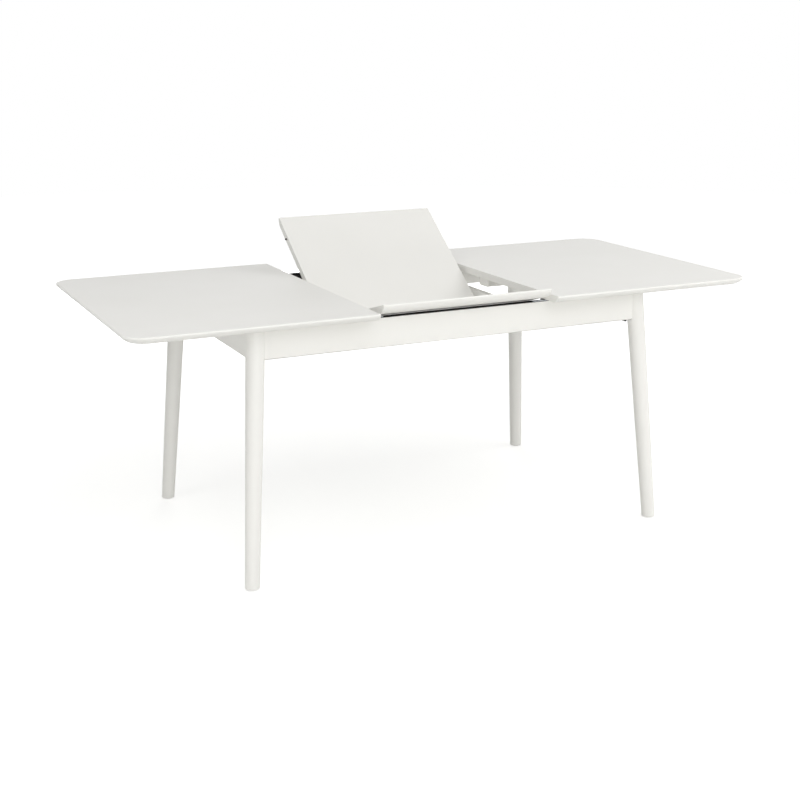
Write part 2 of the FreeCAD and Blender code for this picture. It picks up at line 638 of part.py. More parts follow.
keep(group("leg_nut_set", nuts), "leg_nuts")


def ease_lower_edges(name, blank, axis):
    """Apron with its two lower edges eased."""
    middle = value(f"{APRON_BOTTOM} + sizes.apron_height / 2")
    return eased(name, blank, "sizes.apron_round",
                 lambda edge: lies_along(edge, axis) and edge.CenterOfMass.z < middle)


for end, sign in ENDS.items():
    blank = box(f"{end}_apron_blank", f"-{LEG_TOP_X}", low_side(sign, INNER_Y, "sizes.apron_thickness"),
                APRON_BOTTOM, f"(2 * {LEG_TOP_X})", "sizes.apron_thickness", "sizes.apron_height")
    board = ease_lower_edges(f"{end}_apron_eased", blank, X_AXIS)
    keep(cut(f"{end}_apron_coped", board, legs["left", end], legs["right", end]), f"{end}_apron")
for side, sign in SIDES.items():
    blank = box(f"{side}_apron_blank", low_side(sign, INNER_X, "sizes.apron_thickness"), f"-{LEG_TOP_Y}",
                APRON_BOTTOM, "sizes.apron_thickness", f"(2 * {LEG_TOP_Y})", "sizes.apron_height")
    board = ease_lower_edges(f"{side}_apron_eased", blank, Y_AXIS)
    keep(cut(f"{side}_apron_coped", board, legs[side, "front"], legs[side, "rear"]), f"{side}_apron")

# Inside the frame: cross rails, slide ledgers and rails, pivot plates and pins.
for side, sign in SIDES.items():
    rail = box(f"{side}_cross_rail_bar", low_side(sign, HALF_OPENING, "sizes.cross_rail_thickness"),
               f"-{INNER_Y}", CROSS_BOTTOM, "sizes.cross_rail_thickness",
               f"(2 * {INNER_Y})", "sizes.cross_rail_height")
    keep(rail, f"{side}_cross_rail")
    keep(pivot_plate(side), f"pivot_plate_{side}")
    pin_length = f"({HALF_OPENING} - {PIN_END_X})"
    pin = rod(f"pivot_pin_rod_{side}", "sizes.pivot_radius", pin_length,
              low_side(sign, PIN_END_X, pin_length), PIVOT_REACH, PIVOT_Z, X_AXIS)
    keep(pin, f"pivot_pin_{side}")
for end, sign in ENDS.items():
    ledger = box(f"{end}_ledger_bar", f"-{RAIL_HALF_LENGTH}",
                 low_side(sign, RAIL_INNER_Y, "sizes.rail_width"), f"({RAIL_BOTTOM} - sizes.ledger_height)",
                 f"(2 * {RAIL_HALF_LENGTH})", "sizes.rail_width", "sizes.ledger_height")
    keep(ledger, f"{end}_slide_ledger")
    keep(slide_rail(end), f"{end}_slide_rail")

# The two halves of the top with what is fixed under them.
keep(dowel_sockets(top_half("left")), "left_top")
keep(top_half("right"), "right_top")
for side in SIDES:
    keep(centre_batten(side), f"{side}_batten")
    for end in ENDS:
        keep(runner(side, end), f"{side}_runner_{end}")

# The folding leaf, half folded about the pivot pins.
for end in ENDS:
    panel, dowels, hinges = leaf_half(end)
    set_in_pose(panel, f"leaf_{end}", end)
    set_in_pose(dowels, f"leaf_{end}_dowels", end)
    set_in_pose(hinges, f"fold_hinges_{end}", end)
for side in SIDES:
    set_in_pose(pivot_arm(side), f"pivot_arm_{side}", "rear")

doc.recompute()
for obj in doc.Objects:
    if "Invalid" in obj.State or "Error" in obj.State:
        raise RuntimeError(f"{obj.Name} failed: {obj.State}")
os.makedirs("parts", exist_ok=True)
for obj in parts:
    if obj.Shape.isNull() or not obj.Shape.isValid():
        raise RuntimeError(f"{obj.Label} has no valid shape")
    obj.Shape.exportStep(f"parts/{obj.Label}.step")
    print(f"{obj.Label}: {len(obj.Shape.Solids)} solids, {obj.Shape.Volume / 1000:.1f} cm3")
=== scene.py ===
# %% [markdown]
# # A dining table with a butterfly leaf
# The table is white lacquered wood: two halves of a top that draw apart, and a leaf that folds
# like a book and stands half open in the gap. The solids come from the imported model, at their
# real size, so this lesson only dresses them: it gives each one its finish, adds the screws,
# threads and clips that hold them, and lights them as a furniture studio would. The first cell
# loads the frame.

# %% Load the frame
import math

import bmesh
import bpy
from mathutils import Matrix, Vector


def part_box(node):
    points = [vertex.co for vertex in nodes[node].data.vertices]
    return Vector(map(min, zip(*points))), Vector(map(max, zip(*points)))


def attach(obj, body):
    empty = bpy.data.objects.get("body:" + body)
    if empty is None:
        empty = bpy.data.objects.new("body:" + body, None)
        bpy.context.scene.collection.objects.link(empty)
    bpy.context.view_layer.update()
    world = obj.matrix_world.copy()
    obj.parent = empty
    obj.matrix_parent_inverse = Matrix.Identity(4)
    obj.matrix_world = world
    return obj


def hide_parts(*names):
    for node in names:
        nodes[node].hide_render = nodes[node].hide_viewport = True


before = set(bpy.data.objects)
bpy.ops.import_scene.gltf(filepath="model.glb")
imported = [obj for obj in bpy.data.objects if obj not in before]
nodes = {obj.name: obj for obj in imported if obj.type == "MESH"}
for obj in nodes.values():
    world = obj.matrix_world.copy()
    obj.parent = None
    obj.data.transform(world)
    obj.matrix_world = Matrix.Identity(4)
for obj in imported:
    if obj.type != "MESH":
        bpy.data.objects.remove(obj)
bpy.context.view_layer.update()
scene = bpy.context.scene
MM = 0.001
SIDES = {"left": -1, "right": 1}
ENDS = {"front": -1, "rear": 1}

# %% [markdown]
# ## The camera
# A catalogue picture of a table is taken a few steps back, a little above the top, with a short
# telephoto lens so that the far legs don't shrink much. A camera can be placed by eye, by an
# empty that it tracks, or by the three turns of a tripod head. The tripod is used here: yaw,
# pitch and roll in degrees can be read and corrected one at a time, and the camera's axes are
# then written down as a matrix.

# %% Camera
CAMERA_PLACE = Vector((-1.7828, -3.7389, 1.5112))
CAMERA_YAW, CAMERA_PITCH, CAMERA_ROLL = 25.365, 15.542, 0.167
LENS_MM, SENSOR_MM = 60.75, 36.0
LEVEL_DEGREES = 90


def tripod_head(yaw, pitch, roll):
    """Turn of a camera that starts looking straight down: up to level, then by the angles."""
    level = Matrix.Rotation(math.radians(LEVEL_DEGREES - pitch), 3, "X")
    swing = Matrix.Rotation(math.radians(-yaw), 3, "Z")
    lean = Matrix.Rotation(math.radians(-roll), 3, "Z")
    return (swing @ level @ lean).to_4x4()


camera_data = bpy.data.cameras.new("catalogue_lens")
camera_data.lens = LENS_MM
camera_data.sensor_width = SENSOR_MM
camera_data.sensor_fit = "HORIZONTAL"
camera = bpy.data.objects.new("catalogue_camera", camera_data)
head = tripod_head(CAMERA_YAW, CAMERA_PITCH, CAMERA_ROLL)
camera.matrix_world = Matrix.Translation(CAMERA_PLACE) @ head
scene.collection.objects.link(camera)
scene.camera = camera
print(f"camera {CAMERA_PLACE.length:.2f} m from the table's foot")

# %% [markdown]
# ## Colours and nodes
# Paint makers give colours as screen values, and a shader wants them as linear light, so one
# function does that sum for every colour in the file. Materials are trees of nodes. Building a
# tree by hand takes three or four lines for each node, so one small function adds a node, sets it
# and links it. Patterns are drawn in the object's own coordinates, in metres, and `per_metre`
# turns a real size in millimetres into a texture's scale.

# %% Helpers for materials
def linear(hex_colour):
    """Linear colour of an sRGB hex value."""
    channels = [int(hex_colour[i:i + 2], 16) / 255 for i in (1, 3, 5)]
    return [c / 12.92 if c <= 0.04045 else ((c + 0.055) / 1.055) ** 2.4 for c in channels] + [1.0]


def per_metre(millimetres):
    """Scale of a texture whose cells have a real size."""
    return 1 / (millimetres * MM)


def add(tree, kind, links=None, **settings):
    """Add a node; links gives its inputs, each a value or another node's output."""
    made = tree.nodes.new(kind)
    for name, setting in settings.items():
        setattr(made, name, setting)
    for socket, source in (links or {}).items():
        if isinstance(source, bpy.types.NodeSocket):
            tree.links.new(source, made.inputs[socket])
        else:
            made.inputs[socket].default_value = source
    return made


def new_finish(name, **sockets):
    """Material with one shader, and the tree and object coordinates to draw patterns with."""
    material = bpy.data.materials.new(name)
    material.use_nodes = True
    tree = material.node_tree
    shader = tree.nodes["Principled BSDF"]
    for socket, setting in sockets.items():
        shader.inputs[socket.replace("_", " ")].default_value = setting
    place = add(tree, "ShaderNodeTexCoord").outputs["Object"]
    return material, tree, shader, place


WHITE = linear("#FFFFFF")
print("white", WHITE)

# %% [markdown]
# ## Satin lacquer on wood
# The wood is sprayed with an off-white lacquer and left satin. A sprayed film is never perfectly
# even: it is a touch warmer where it lies thicker, its gloss drifts over a hand's width, and its
# skin has the fine waves that painters call orange peel. Real orange peel is about 2 mm from
# crest to crest, which is finer than a pixel of the picture, so it is drawn at 5 mm. On the solid
# wood pieces the grain also shows through a little, as shallow lines along the piece. Real pores
# are well under a millimetre wide, so these lines are drawn 4 mm wide to show. The top and the
# leaf are smooth board and have none. One function makes both kinds: the direction of the grain
# is the only thing that differs.

# %% Lacquer
LACQUER_THIN, LACQUER_THICK = "#EFEEEA", "#EBEAE5"
LACQUER_IOR = 1.5
SATIN_ROUGHNESS = (0.36, 0.46)
FILM_DRIFT_MM, GLOSS_DRIFT_MM, ORANGE_PEEL_MM = 240, 70, 5
ORANGE_PEEL_DEPTH, GRAIN_DEPTH = 0.012 * MM, 0.05 * MM
GRAIN_WIDTH_MM, GRAIN_LENGTH_MM = 4, 160


def satin_lacquer(name, grain_axis=None):
    """Sprayed satin lacquer; the grain of solid wood shows through along grain_axis."""
    material, tree, shader, place = new_finish(name, IOR=LACQUER_IOR)
    spray = {"Vector": place, "Scale": per_metre(FILM_DRIFT_MM), "Detail": 2.0}
    film = add(tree, "ShaderNodeTexNoise", spray)
    tint = add(tree, "ShaderNodeMix", {"Factor": film.outputs["Fac"]}, data_type="RGBA")
    tint.inputs["A"].default_value = linear(LACQUER_THIN)
    tint.inputs["B"].default_value = linear(LACQUER_THICK)
    tree.links.new(tint.outputs["Result"], shader.inputs["Base Color"])
    drift = {"Vector": place, "Scale": per_metre(GLOSS_DRIFT_MM), "Detail": 3.0}
    gloss = add(tree, "ShaderNodeTexNoise", drift)
    smooth, rough = SATIN_ROUGHNESS
    sheen = {"Value": gloss.outputs["Fac"], "To Min": smooth, "To Max": rough}
    satin = add(tree, "ShaderNodeMapRange", sheen)
    tree.links.new(satin.outputs["Result"], shader.inputs["Roughness"])
    waves = {"Vector": place, "Scale": per_metre(ORANGE_PEEL_MM), "Detail": 1.0}
    peel = add(tree, "ShaderNodeTexNoise", waves)
    ripple = {"Height": peel.outputs["Fac"], "Distance": ORANGE_PEEL_DEPTH}
    skin = add(tree, "ShaderNodeBump", ripple)
    if grain_axis is not None:
        stretch = [per_metre(GRAIN_WIDTH_MM)] * 3
        stretch[grain_axis] = per_metre(GRAIN_LENGTH_MM)
        drawn = add(tree, "ShaderNodeMapping", {"Vector": place, "Scale": stretch})
        lines = {"Vector": drawn.outputs["Vector"], "Scale": 1.0, "Detail": 3.0}
        grain = add(tree, "ShaderNodeTexNoise", lines)
        skin = add(tree, "ShaderNodeBump", {"Height": grain.outputs["Fac"], "Distance": GRAIN_DEPTH,
                                            "Normal": skin.outputs["Normal"]})
    tree.links.new(skin.outputs["Normal"], shader.inputs["Normal"])
    return material


board_lacquer = satin_lacquer("satin_lacquer_on_board")
wood_lacquer = [satin_lacquer(f"satin_lacquer_on_wood_{axis}", i) for i, axis in enumerate("xyz")]
print("lacquers", board_lacquer.name, [m.name for m in wood_lacquer])

# %% [markdown]
# ## Black powder coat
# The slide rails and the corner brackets are folded steel with a baked powder coat. The powder
# melts into a fine pebbled skin with grains of about half a millimetre, dull black, with a soft
# sheen on the pebbles. That is too fine for a pixel, so the pebbles are drawn at 3 mm. A noise
# pattern gives them, and it drives the bump and the roughness, because the hollows are duller
# than the crests. It also drives the colour, which is painted light and shade: the hollows are
# painted darker as shade, and the crests lighter as a painted sheen.

# %% Powder coat
PEBBLE_MM, PEBBLE_DEPTH = 3, 0.1 * MM
POWDER_SHADED_HOLLOW, POWDER_LIT_CREST = "#0C0C0D", "#1A1A1B"
HOLLOW_ROUGHNESS, CREST_ROUGHNESS, POWDER_SHEEN = 0.82, 0.62, 0.25
powder_coat, tree, shader, place = new_finish("black_powder_coat_on_steel",
                                              Specular_IOR_Level=POWDER_SHEEN)
grains = {"Vector": place, "Scale": per_metre(PEBBLE_MM), "Detail": 2.0}
pebbles = add(tree, "ShaderNodeTexNoise", grains)
# Painted light: the colour is darker in the pebbles' hollows as painted shade and lighter on their
# crests as a painted sheen.
black = add(tree, "ShaderNodeMix", {"Factor": pebbles.outputs["Fac"]}, data_type="RGBA")
black.inputs["A"].default_value = linear(POWDER_SHADED_HOLLOW)
black.inputs["B"].default_value = linear(POWDER_LIT_CREST)
tree.links.new(black.outputs["Result"], shader.inputs["Base Color"])
dull = add(tree, "ShaderNodeMapRange", {"Value": pebbles.outputs["Fac"],
                                        "To Min": HOLLOW_ROUGHNESS, "To Max": CREST_ROUGHNESS})
tree.links.new(dull.outputs["Result"], shader.inputs["Roughness"])
skin = add(tree, "ShaderNodeBump", {"Height": pebbles.outputs["Fac"], "Distance": PEBBLE_DEPTH})
tree.links.new(skin.outputs["Normal"], shader.inputs["Normal"])
print("made", powder_coat.name)

# %% [markdown]
# ## Zinc-plated steel
# Runners, pivots, bolts and nuts are mild steel with a bright zinc plate. The plate is a pale,
# slightly blue metal, cloudy where it crystallised, with the fine draw lines of the bar still
# showing along it. The clouds are Voronoi cells of a few millimetres and only shift the roughness
# and the tint a little. The draw lines are noise stretched along X, the way the bars run. Real
# ones are a tenth of a millimetre wide and would vanish, so they are drawn 3 mm wide.

# %% Zinc
SPANGLE_MM, DRAW_WIDTH_MM, DRAW_LENGTH_MM, DRAW_DEPTH = 4, 3, 120, 0.04 * MM
ZINC_DARK, ZINC_PALE = "#A4A8AC", "#B6B9BC"
ZINC_SMOOTH, ZINC_ROUGH = 0.3, 0.42
zinc, tree, shader, place = new_finish("zinc_plated_steel", Metallic=1.0)
spangle = add(tree, "ShaderNodeTexVoronoi", {"Vector": place, "Scale": per_metre(SPANGLE_MM)})
cloud = add(tree, "ShaderNodeSeparateColor", {"Color": spangle.outputs["Color"]})
plate = add(tree, "ShaderNodeMix", {"Factor": cloud.outputs["Red"]}, data_type="RGBA")
plate.inputs["A"].default_value = linear(ZINC_DARK)
plate.inputs["B"].default_value = linear(ZINC_PALE)
tree.links.new(plate.outputs["Result"], shader.inputs["Base Color"])
worn = add(tree, "ShaderNodeMapRange", {"Value": cloud.outputs["Green"],
                                        "To Min": ZINC_SMOOTH, "To Max": ZINC_ROUGH})
tree.links.new(worn.outputs["Result"], shader.inputs["Roughness"])
draw_scale = [per_metre(DRAW_LENGTH_MM), per_metre(DRAW_WIDTH_MM), per_metre(DRAW_WIDTH_MM)]
drawn = add(tree, "ShaderNodeMapping", {"Vector": place, "Scale": draw_scale})
streaks = {"Vector": drawn.outputs["Vector"], "Scale": 1.0, "Detail": 2.0}
lines = add(tree, "ShaderNodeTexNoise", streaks)
skin = add(tree, "ShaderNodeBump", {"Height": lines.outputs["Fac"], "Distance": DRAW_DEPTH})
tree.links.new(skin.outputs["Normal"], shader.inputs["Normal"])
print("made", zinc.name)

# %% [markdown]
# ## Turned brass, moulded plastic and nylon
# The barrels of the concealed hinges are turned brass, with the rings that the cutting tool
# leaves. The alignment dowels are a dark moulded plastic with a faint flow pattern, and the
# glides under the feet are milky nylon with a ground face. Each of them is small, so one pattern
# each is enough: rings from a wave texture for the brass, and soft noise for the two plastics.
# Tool rings and the grit of a ground face are finer than a pixel, so the rings are drawn 4.4 mm
# apart and the grit at 3 mm. A wave texture turns through 20 radians in each unit of its scale,
# and one ring is a full turn.

# %% Brass, dowel plastic and nylon
TOOL_RING_MM, TOOL_RING_DEPTH, RING_WANDER = 4.4, 0.02 * MM, 0.4
WAVE_RADIANS = 20
WAVE_TURN = 2 * math.pi / WAVE_RADIANS
BRASS_COLOUR, BRASS_SMOOTH, BRASS_ROUGH = "#C8A45E", 0.22, 0.34
brass, tree, shader, place = new_finish("turned_brass", Metallic=1.0,
                                        Base_Color=linear(BRASS_COLOUR))
turned = {"Vector": place, "Scale": per_metre(TOOL_RING_MM) * WAVE_TURN, "Distortion": RING_WANDER}
rings = add(tree, "ShaderNodeTexWave", turned, bands_direction="Y")
polish = add(tree, "ShaderNodeMapRange", {"Value": rings.outputs["Fac"],
                                          "To Min": BRASS_SMOOTH, "To Max": BRASS_ROUGH})
tree.links.new(polish.outputs["Result"], shader.inputs["Roughness"])
skin = add(tree, "ShaderNodeBump", {"Height": rings.outputs["Fac"], "Distance": TOOL_RING_DEPTH})
tree.links.new(skin.outputs["Normal"], shader.inputs["Normal"])

PLASTIC_IOR, FLOW_MM, GROUND_MM = 1.52, 6, 3
MOULDED = {"dark_moulded_plastic": ("#4A4744", "#5A5652", 0.40, 0.55, FLOW_MM),
           "ground_nylon": ("#DEDCD4", "#CFCDC4", 0.42, 0.60, GROUND_MM)}
moulded = {}
for name, (shade_a, shade_b, smooth, rough, size) in MOULDED.items():
    moulded[name], tree, shader, place = new_finish(name, IOR=PLASTIC_IOR)
    swirl = {"Vector": place, "Scale": per_metre(size), "Detail": 2.0}
    flow = add(tree, "ShaderNodeTexNoise", swirl)
    shade = add(tree, "ShaderNodeMix", {"Factor": flow.outputs["Fac"]}, data_type="RGBA")
    shade.inputs["A"].default_value = linear(shade_a)
    shade.inputs["B"].default_value = linear(shade_b)
    tree.links.new(shade.outputs["Result"], shader.inputs["Base Color"])
    worn = add(tree, "ShaderNodeMapRange", {"Value": flow.outputs["Fac"],
                                            "To Min": smooth, "To Max": rough})
    tree.links.new(worn.outputs["Result"], shader.inputs["Roughness"])
print("made", brass.name, *moulded)

# %% [markdown]
# ## A finish for every solid
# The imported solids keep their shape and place, and only their material changes. The names tell
# what each one is, so the finish is chosen by words in the name, and the grain of the solid wood
# runs along the piece: up the legs, along the long aprons and ledgers, and across on the short
# aprons and cross rails.

# %% Dress the solids
FINISHES = [
    (("glide",), moulded["ground_nylon"]),
    (("dowels",), moulded["dark_moulded_plastic"]),
    (("hinges",), brass),
    (("bracket", "slide_rail"), powder_coat),
    (("pivot", "bolts", "nuts", "runner"), zinc),
    (("leg",), wood_lacquer[2]),
    (("left_apron", "right_apron", "cross_rail"), wood_lacquer[1]),
    (("apron", "ledger", "batten"), wood_lacquer[0]),
    (("top", "leaf"), board_lacquer),
]


def finish_for(name):
    """First finish whose words stand in a node's name."""
    return next(finish for words, finish in FINISHES if any(word in name for word in words))


for name, solid in nodes.items():
    for slot in solid.material_slots:
        slot.material = finish_for(name)
print({name: finish_for(name).name for name in sorted(nodes)})

# %% [markdown]
# ## Eased lower edges of the aprons
# A joiner rounds the lower edges of an apron, because hands and knees touch them. The round turns
# away from the light and draws a thin grey line along the apron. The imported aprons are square
# there. A bevel modifier would round all their edges, also those that sit in the legs, so the
# mesh is copied, its triangles are joined into whole faces, and only the long edges at the bottom
# are bevelled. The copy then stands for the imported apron.

# %% Eased apron edges
EASED_RADIUS, EASED_STEPS, ROUND_PROFILE = 5.0 * MM, 5, 0.5
SAME_LEVEL, SAME_CORNER, FLAT_ANGLE = 0.1 * MM, 0.01 * MM, math.radians(0.5)
APRON_AXES = {"front_apron": 0, "rear_apron": 0, "left_apron": 1, "right_apron": 1}


def add_piece(name, mesh, body, finish):
    """Object of a finished mesh, riding on a body."""
    data = bpy.data.meshes.new(name)
    mesh.to_mesh(data)
    mesh.free()
    data.materials.append(finish)
    piece = bpy.data.objects.new(name, data)
    scene.collection.objects.link(piece)
    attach(piece, body)
    return piece


def runs_along(edge, axis, bottom):
    """Whether an edge lies at the bottom and follows an axis."""
    ends = [corner.co for corner in edge.verts]
    across = [abs(ends[0][i] - ends[1][i]) for i in range(3) if i != axis]
    return max(across) < SAME_LEVEL and all(end.z - bottom < SAME_LEVEL for end in ends)


for name, axis in APRON_AXES.items():
    mesh = bmesh.new()
    mesh.from_mesh(nodes[name].data)
    mesh.transform(nodes[name].matrix_world)
    bmesh.ops.remove_doubles(mesh, verts=mesh.verts, dist=SAME_CORNER)
    bmesh.ops.dissolve_limit(mesh, angle_limit=FLAT_ANGLE, verts=mesh.verts, edges=mesh.edges)
    bottom = min(corner.co.z for corner in mesh.verts)
    lower = [edge for edge in mesh.edges if runs_along(edge, axis, bottom)]
    rounded = bmesh.ops.bevel(mesh, geom=lower, offset=EASED_RADIUS, offset_type="OFFSET",
                              segments=EASED_STEPS, profile=ROUND_PROFILE, affect="EDGES")
    for face in rounded["faces"]:
        face.smooth = True
    print(f"{name}: {len(lower)} edges eased, {len(mesh.faces)} faces")
    eased = add_piece(f"eased_{name}", mesh, "frame", finish_for(name))
    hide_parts(name)

# %% [markdown]
# ## Screws
# Screws hold the brackets, ledgers, battens and pivots. Each is a raised countersunk head with a
# cross recess. It could be a disc with a cross painted on it, but the recess has to catch the
# light, so it is geometry: a domed ring of faces, bridged to a cross-shaped outline that is then
# sunk into the head. One head is built at the origin, and copies of it are stood where they
# belong, joined into one piece for each group.

# %% Screw head
DOME_SHARES = ((1.0, 0.0), (0.97, 0.35), (0.86, 0.66), (0.7, 0.86), (0.6, 0.93))
HEAD_SIDES, RECESS_ARMS, SUNK_SHARE = 24, 4, 0.5
RECESS_REACH_SHARE, RECESS_HALF_WIDTH_SHARE = 0.5, 0.12
RECESS_FLOOR_SHARE, RECESS_DEPTH_SHARE = 0.6, 0.25


def ring_of(mesh, points):
    """Closed loop of edges through points."""
    corners = [mesh.verts.new(point) for point in points]
    return corners, [mesh.edges.new((a, b)) for a, b in zip(corners, corners[1:] + corners[:1])]


def join_rings(mesh, lower, upper):
    """Quads between two rings with as many corners."""
    for i, corner in enumerate(lower):
        after = (i + 1) % len(lower)
        mesh.faces.new((corner, lower[after], upper[after], upper[i]))


def screw_head(radius, rise):
    """Mesh of a domed head with a cross recess, standing on Z 0, its base closed just below."""
    mesh = bmesh.new()
    turns = [2 * math.pi * i / HEAD_SIDES for i in range(HEAD_SIDES)]
    levels = [(radius, -rise * SUNK_SHARE)]
    levels += [(radius * share, rise * height) for share, height in DOME_SHARES]
    rings = []
    for r, z in levels:
        rings.append(ring_of(mesh, [(r * math.cos(t), r * math.sin(t), z) for t in turns]))
    for (lower, _), (upper, _) in zip(rings, rings[1:]):
        join_rings(mesh, lower, upper)
    mesh.faces.new(list(reversed(rings[0][0])))
    a, w = radius * RECESS_REACH_SHARE, radius * RECESS_HALF_WIDTH_SHARE
    quarter = [(a, -w), (a, w), (w, w)]
    cross = []
    for turn in range(RECESS_ARMS):
        c, s = round(math.cos(turn * math.pi / 2)), round(math.sin(turn * math.pi / 2))
        cross += [(c * x - s * y, s * x + c * y) for x, y in quarter]
    mouth, mouth_edges = ring_of(mesh, [(x, y, rise) for x, y in cross])
    bmesh.ops.bridge_loops(mesh, edges=rings[-1][1] + mouth_edges)
    narrow, depth = RECESS_FLOOR_SHARE, -rise * RECESS_DEPTH_SHARE
    bottom = [mesh.verts.new((x * narrow, y * narrow, depth)) for x, y in cross]
    join_rings(mesh, mouth, bottom)
    mesh.faces.new(bottom)
    bmesh.ops.recalc_face_normals(mesh, faces=mesh.faces)
    return mesh


def stand_on(place, out):
    """Matrix that stands a piece built along Z on a place, pointing out."""
    return Matrix.Translation(place) @ Vector(out).to_track_quat("Z", "Y").to_matrix().to_4x4()


def copies(name, pattern, places, body, finish):
    """One piece of many copies of a mesh, riding on a body."""
    whole = bmesh.new()
    for place, out in places:
        single = bpy.data.meshes.new("copy")
        pattern.to_mesh(single)
        single.transform(stand_on(place, out))
        whole.from_mesh(single)
        bpy.data.meshes.remove(single)
    print(f"{name}: {len(places)} copies on {body}")
    add_piece(name, whole, body, finish)


# %% [markdown]
# ## Screws in brackets and ledgers
# A screw sits where two pieces are joined. Its place could be typed in, but then it would be left
# behind when the model changes, so it is worked out from the box of the piece that it holds: a
# share of the way along, on the face that a screwdriver can reach. A bracket has a flange on
# either apron, with two screws at different heights so that they don't split the wood along one
# line of grain.

# %% Bracket and ledger screws
SCREW_RADIUS, SCREW_RISE = 4.0 * MM, 1.3 * MM
SMALL_RADIUS, SMALL_RISE = 3.2 * MM, 0.9 * MM
screw = screw_head(SCREW_RADIUS, SCREW_RISE)
small_screw = screw_head(SMALL_RADIUS, SMALL_RISE)

FLANGE_SHARES, FLANGE_HEIGHT_SHARES = (0.12, 0.38), (0.55, 0.85)
BRACKET_GAUGE = 3.0 * MM
bracket_places = []
for end, sy in ENDS.items():
    for side, sx in SIDES.items():
        low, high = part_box(f"corner_bracket_{end}_{side}")
        outer = Vector((high.x if sx > 0 else low.x, high.y if sy > 0 else low.y, 0))
        span = high - low
        for share, height in zip(FLANGE_SHARES, FLANGE_HEIGHT_SHARES):
            z = low.z + height * span.z
            far_x = outer.x - sx * span.x * (1 - share)
            far_y = outer.y - sy * span.y * (1 - share)
            bracket_places.append((Vector((far_x, outer.y - sy * BRACKET_GAUGE, z)), (0, -sy, 0)))
            bracket_places.append((Vector((outer.x - sx * BRACKET_GAUGE, far_y, z)), (-sx, 0, 0)))
copies("bracket_screws", screw, bracket_places, "frame", zinc)

LEDGER_SHARES = (0.06, 0.28, 0.5, 0.72, 0.94)
ledger_places = []
for end, sy in ENDS.items():
    low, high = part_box(f"{end}_slide_ledger")
    inner_y = low.y if sy > 0 else high.y
    for share in LEDGER_SHARES:
        x = low.x + share * (high.x - low.x)
        ledger_places.append((Vector((x, inner_y, (low.z + high.z) / 2)), (0, -sy, 0)))
copies("ledger_screws", screw, ledger_places, "frame", zinc)

# %% [markdown]
# ## Screws in battens, pivot plates and rails
# The battens are screwed up into the tops from below, the pivot plates into the cross rails, and
# the slide rails down into the ledgers. The steel pieces are thin, so they take a smaller head,
# which also keeps the runners' way in the rails free.

# %% Batten, plate and rail screws
BATTEN_SHARES = (0.1, 0.37, 0.63, 0.9)
for side in SIDES:
    low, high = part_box(f"{side}_batten")
    length = high.x - low.x
    under = [(Vector((low.x + share * length, 0, low.z)), (0, 0, -1)) for share in BATTEN_SHARES]
    copies(f"{side}_batten_screws", screw, under, f"{side}_half_top", zinc)

PLATE_SHARES = ((0.2, 0.14), (0.8, 0.14), (0.2, 0.45), (0.8, 0.45))
plate_places = []
for side, sx in SIDES.items():
    low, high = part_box(f"pivot_plate_{side}")
    face_x = low.x if sx > 0 else high.x
    breadth, height = high.y - low.y, high.z - low.z
    for share_y, share_z in PLATE_SHARES:
        spot = Vector((face_x, low.y + share_y * breadth, low.z + share_z * height))
        plate_places.append((spot, (-sx, 0, 0)))
copies("pivot_plate_screws", small_screw, plate_places, "frame", zinc)

RAIL_GAUGE, TRACK_SHARES = 1.5 * MM, (0.25, 0.75)
RAIL_SCREW_PITCH = 190 * MM
rail_places = []
for end in ENDS:
    rail_low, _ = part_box(f"{end}_slide_rail")
    ledger_low, ledger_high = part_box(f"{end}_slide_ledger")
    for share in TRACK_SHARES:
        y = ledger_low.y + share * (ledger_high.y - ledger_low.y)
        for step in (-1, 0, 1):
            spot = Vector((step * RAIL_SCREW_PITCH, y, rail_low.z + RAIL_GAUGE))
            rail_places.append((spot, (0, 0, 1)))
copies("rail_screws", small_screw, rail_places, "frame", zinc)

# %% [markdown]
# ## Screws in the pivot arms
# The pivot arms are tilted with the leaf, so the box of an arm says little about its face. Their
# screws are placed in the leaf's own directions instead: one along the joint axis, the other
# across it in the arm's lower face. That face is the largest one that looks down, and every
# corner in its plane belongs to it.

# %% Pivot arm screws
SAME_PLANE = 0.05 * MM


def lower_face(solid):
    """Corners of the largest flat face that looks down, and the way it looks."""
    mesh = solid.data
    down = [face for face in mesh.polygons if face.normal.z < 0]
    largest = max(down, key=lambda face: face.area)
    start = mesh.vertices[largest.vertices[0]].co
    flat = [v.co for v in mesh.vertices if abs((v.co - start).dot(largest.normal)) < SAME_PLANE]
    turn = solid.matrix_world.to_3x3()
    return [solid.matrix_world @ co for co in flat], (turn @ largest.normal).normalized()


ARM_SHARES = ((0.3, 0.14), (0.7, 0.14), (0.3, 0.86), (0.7, 0.86))
arm_places = []
for side in SIDES:
    corners, out = lower_face(nodes[f"pivot_arm_{side}"])
    along = Vector((1, 0, 0))
    across = out.cross(along)
    reach = [[corner.dot(way) for corner in corners] for way in (along, across)]
    for share_x, share_y in ARM_SHARES:
        x, y = [min(r) + share * (max(r) - min(r)) for r, share in zip(reach, (share_x, share_y))]
        arm_places.append((along * x + across * y + out * corners[0].dot(out), out))
copies("pivot_arm_screws", small_screw, arm_places, "leaf_rear_half", zinc)

# %% [markdown]
# ## Black screws under the brackets
# Under each corner bracket a steel tab peeps out below the apron, close to the leg, and a black
# screw head closes it from below. The tab is in the middle of the bracket, so its place can't be
# read from the bracket's box. It is found from the solid's own corners: the lowest ones belong to
# the tab. The head sits toward the leg, where the tab bears on it.

# %% Tab screws
TAB_SCREW_RADIUS, TAB_SCREW_RISE, TAB_SCREW_SHIFT = 5.0 * MM, 3.0 * MM, 2.5 * MM
tab_screw = screw_head(TAB_SCREW_RADIUS, TAB_SCREW_RISE)


def corners_of(solid):
    """Corners of a solid where it stands."""
    return [solid.matrix_world @ vertex.co for vertex in solid.data.vertices]


def middle_of(corners):
    """Middle of the box round some corners."""
    return Vector([(min(c[i] for c in corners) + max(c[i] for c in corners)) / 2 for i in range(3)])


